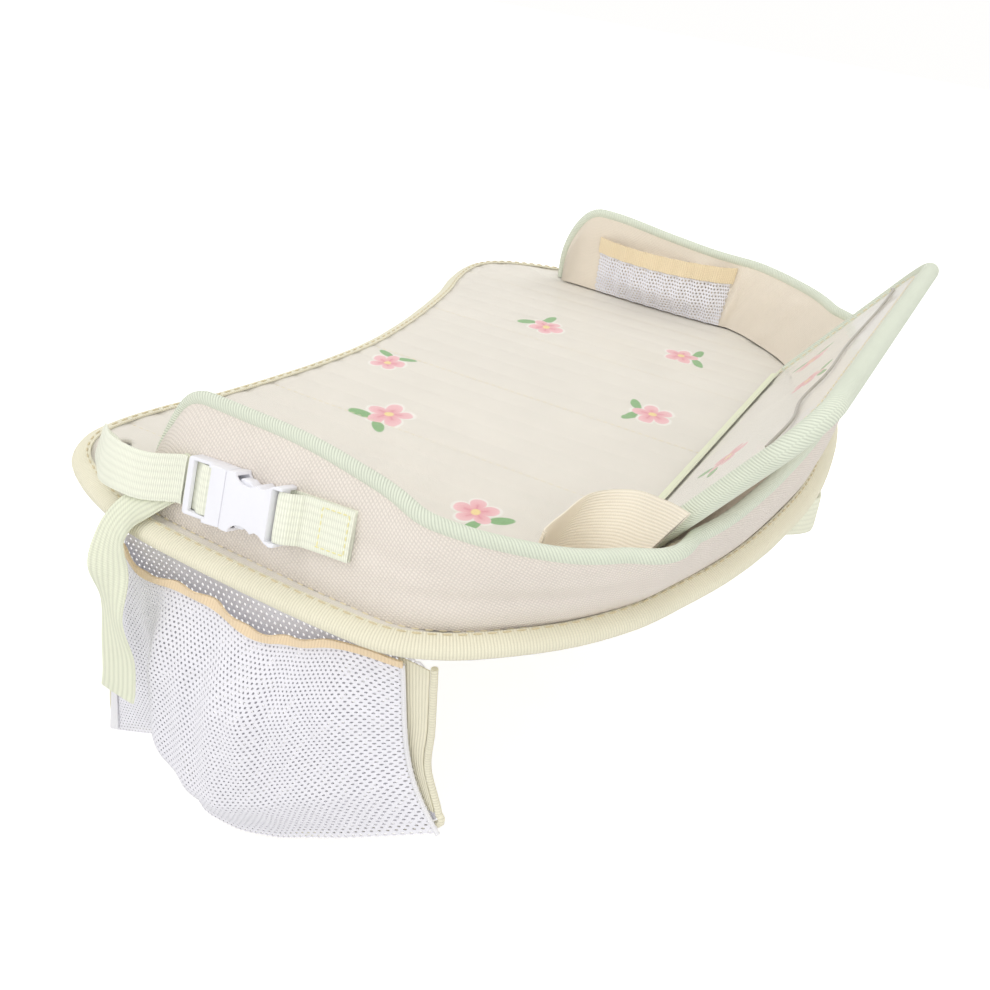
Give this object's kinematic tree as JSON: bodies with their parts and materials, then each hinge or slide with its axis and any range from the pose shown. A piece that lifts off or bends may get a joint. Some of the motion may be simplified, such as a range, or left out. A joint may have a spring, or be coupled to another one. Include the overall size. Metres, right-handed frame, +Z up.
{
  "type": "car seat tray table",
  "caption": "Soft-walled car seat tray table with a padded base, a tilting tablet flap, a mesh side pouch and a buckled strap.",
  "frame": {"origin": "centre of the base's underside, midway between the sides and level with its lowest cloth", "axes": "+X towards the side with the buckle and the pouch, +Y away from the child towards the tablet flap, +Z up"},
  "size_m": [0.4119, 0.284, 0.2166],
  "materials": {
    "underside_panel": "woven cloth",
    "base_board": "flat board",
    "floor_quilt": "sewn padding",
    "floor_film": "clear film",
    "rim_binding": "ribbed binding tape",
    "wall_padding": "soft foam",
    "wall_stiffener": "thin sheet",
    "wall_outer_panel": "woven cloth",
    "wall_lining": "woven cloth",
    "wall_piping": "ribbed piping",
    "inner_pocket_mesh": "open mesh",
    "inner_pocket_elastic": "ribbed elastic",
    "flap_board": "flat board",
    "flap_back_panel": "woven cloth",
    "flap_front_panel": "woven cloth",
    "flap_film": "clear film",
    "flap_edge_piping": "ribbed piping",
    "flap_hinge_tape": "ribbed tape",
    "flap_strap": "ribbed elastic",
    "buckle_socket": "moulded plastic",
    "buckle_plug": "moulded plastic",
    "buckle_prong_upper": "moulded plastic",
    "buckle_prong_lower": "moulded plastic",
    "webbing_anchor": "woven webbing",
    "webbing_loop": "woven webbing",
    "webbing_lead": "woven webbing",
    "webbing_tail": "woven webbing",
    "belt_underside": "woven webbing",
    "pouch_header_tape": "ribbed tape",
    "pouch_back_panel": "plain cloth",
    "pouch_binding": "ribbed binding",
    "pouch_mesh": "open mesh",
    "pouch_hem_elastic": "ribbed elastic"
  },
  "bodies": {
    "tray": {"underside_panel": "underside_panel", "base_board": "base_board", "floor_quilt": "floor_quilt", "floor_film": "floor_film", "rim_binding": "rim_binding", "wall_padding": "wall_padding", "wall_stiffener": "wall_stiffener", "wall_outer_panel": "wall_outer_panel", "wall_lining": "wall_lining", "wall_piping": "wall_piping", "inner_pocket_mesh": "inner_pocket_mesh", "inner_pocket_elastic": "inner_pocket_elastic", "flap_hinge_tape": "flap_hinge_tape", "flap_strap": "flap_strap", "buckle_socket": "buckle_socket", "webbing_anchor": "webbing_anchor", "webbing_lead": "webbing_lead", "belt_underside": "belt_underside", "pouch_header_tape": "pouch_header_tape"},
    "flap": {"flap_board": "flap_board", "flap_back_panel": "flap_back_panel", "flap_front_panel": "flap_front_panel", "flap_film": "flap_film", "flap_edge_piping": "flap_edge_piping"},
    "plug": {"buckle_plug": "buckle_plug", "webbing_loop": "webbing_loop", "webbing_tail": "webbing_tail"},
    "prong_upper": {"buckle_prong_upper": "buckle_prong_upper"},
    "prong_lower": {"buckle_prong_lower": "buckle_prong_lower"},
    "pouch": {"pouch_back_panel": "pouch_back_panel", "pouch_binding": "pouch_binding", "pouch_mesh": "pouch_mesh", "pouch_hem_elastic": "pouch_hem_elastic"}
  },
  "joints": [
    {"name": "flap_tilt", "type": "hinge", "parent": "tray", "child": "flap", "pos_m": [0, 0.0887, 0.0098], "axis": [1, 0, 0], "range_deg": [0, 125], "deforming": ["flap_strap"]},
    {"name": "buckle_release", "type": "slide", "parent": "tray", "child": "plug", "axis": [-0.0212, -0.9968, -0.0769], "range_m": [0, 0.022], "deforming": ["webbing_lead"]},
    {"name": "prong_upper_squeeze", "type": "hinge", "parent": "plug", "child": "prong_upper", "pos_m": [0.18457, -0.02422, 0.03236], "axis": [-0.9539, 0.0431, -0.2968], "range_deg": [0, 8.1]},
    {"name": "prong_lower_squeeze", "type": "hinge", "parent": "plug", "child": "prong_lower", "pos_m": [0.1872, -0.02363, 0.02399], "axis": [0.9539, -0.0431, 0.2968], "range_deg": [0, 8.1]},
    {"name": "pouch_swing", "type": "hinge", "parent": "tray", "child": "pouch", "pos_m": [0.187, 0, -0.0039], "axis": [0, -1, 0], "range_deg": [-25, 35], "deforming": ["webbing_tail"]}
  ],
  "couplings": [
    {"joint": "prong_upper_squeeze", "follows": "buckle_release", "rad_per_m": 6.3},
    {"joint": "prong_lower_squeeze", "follows": "buckle_release", "rad_per_m": 6.3}
  ]
}
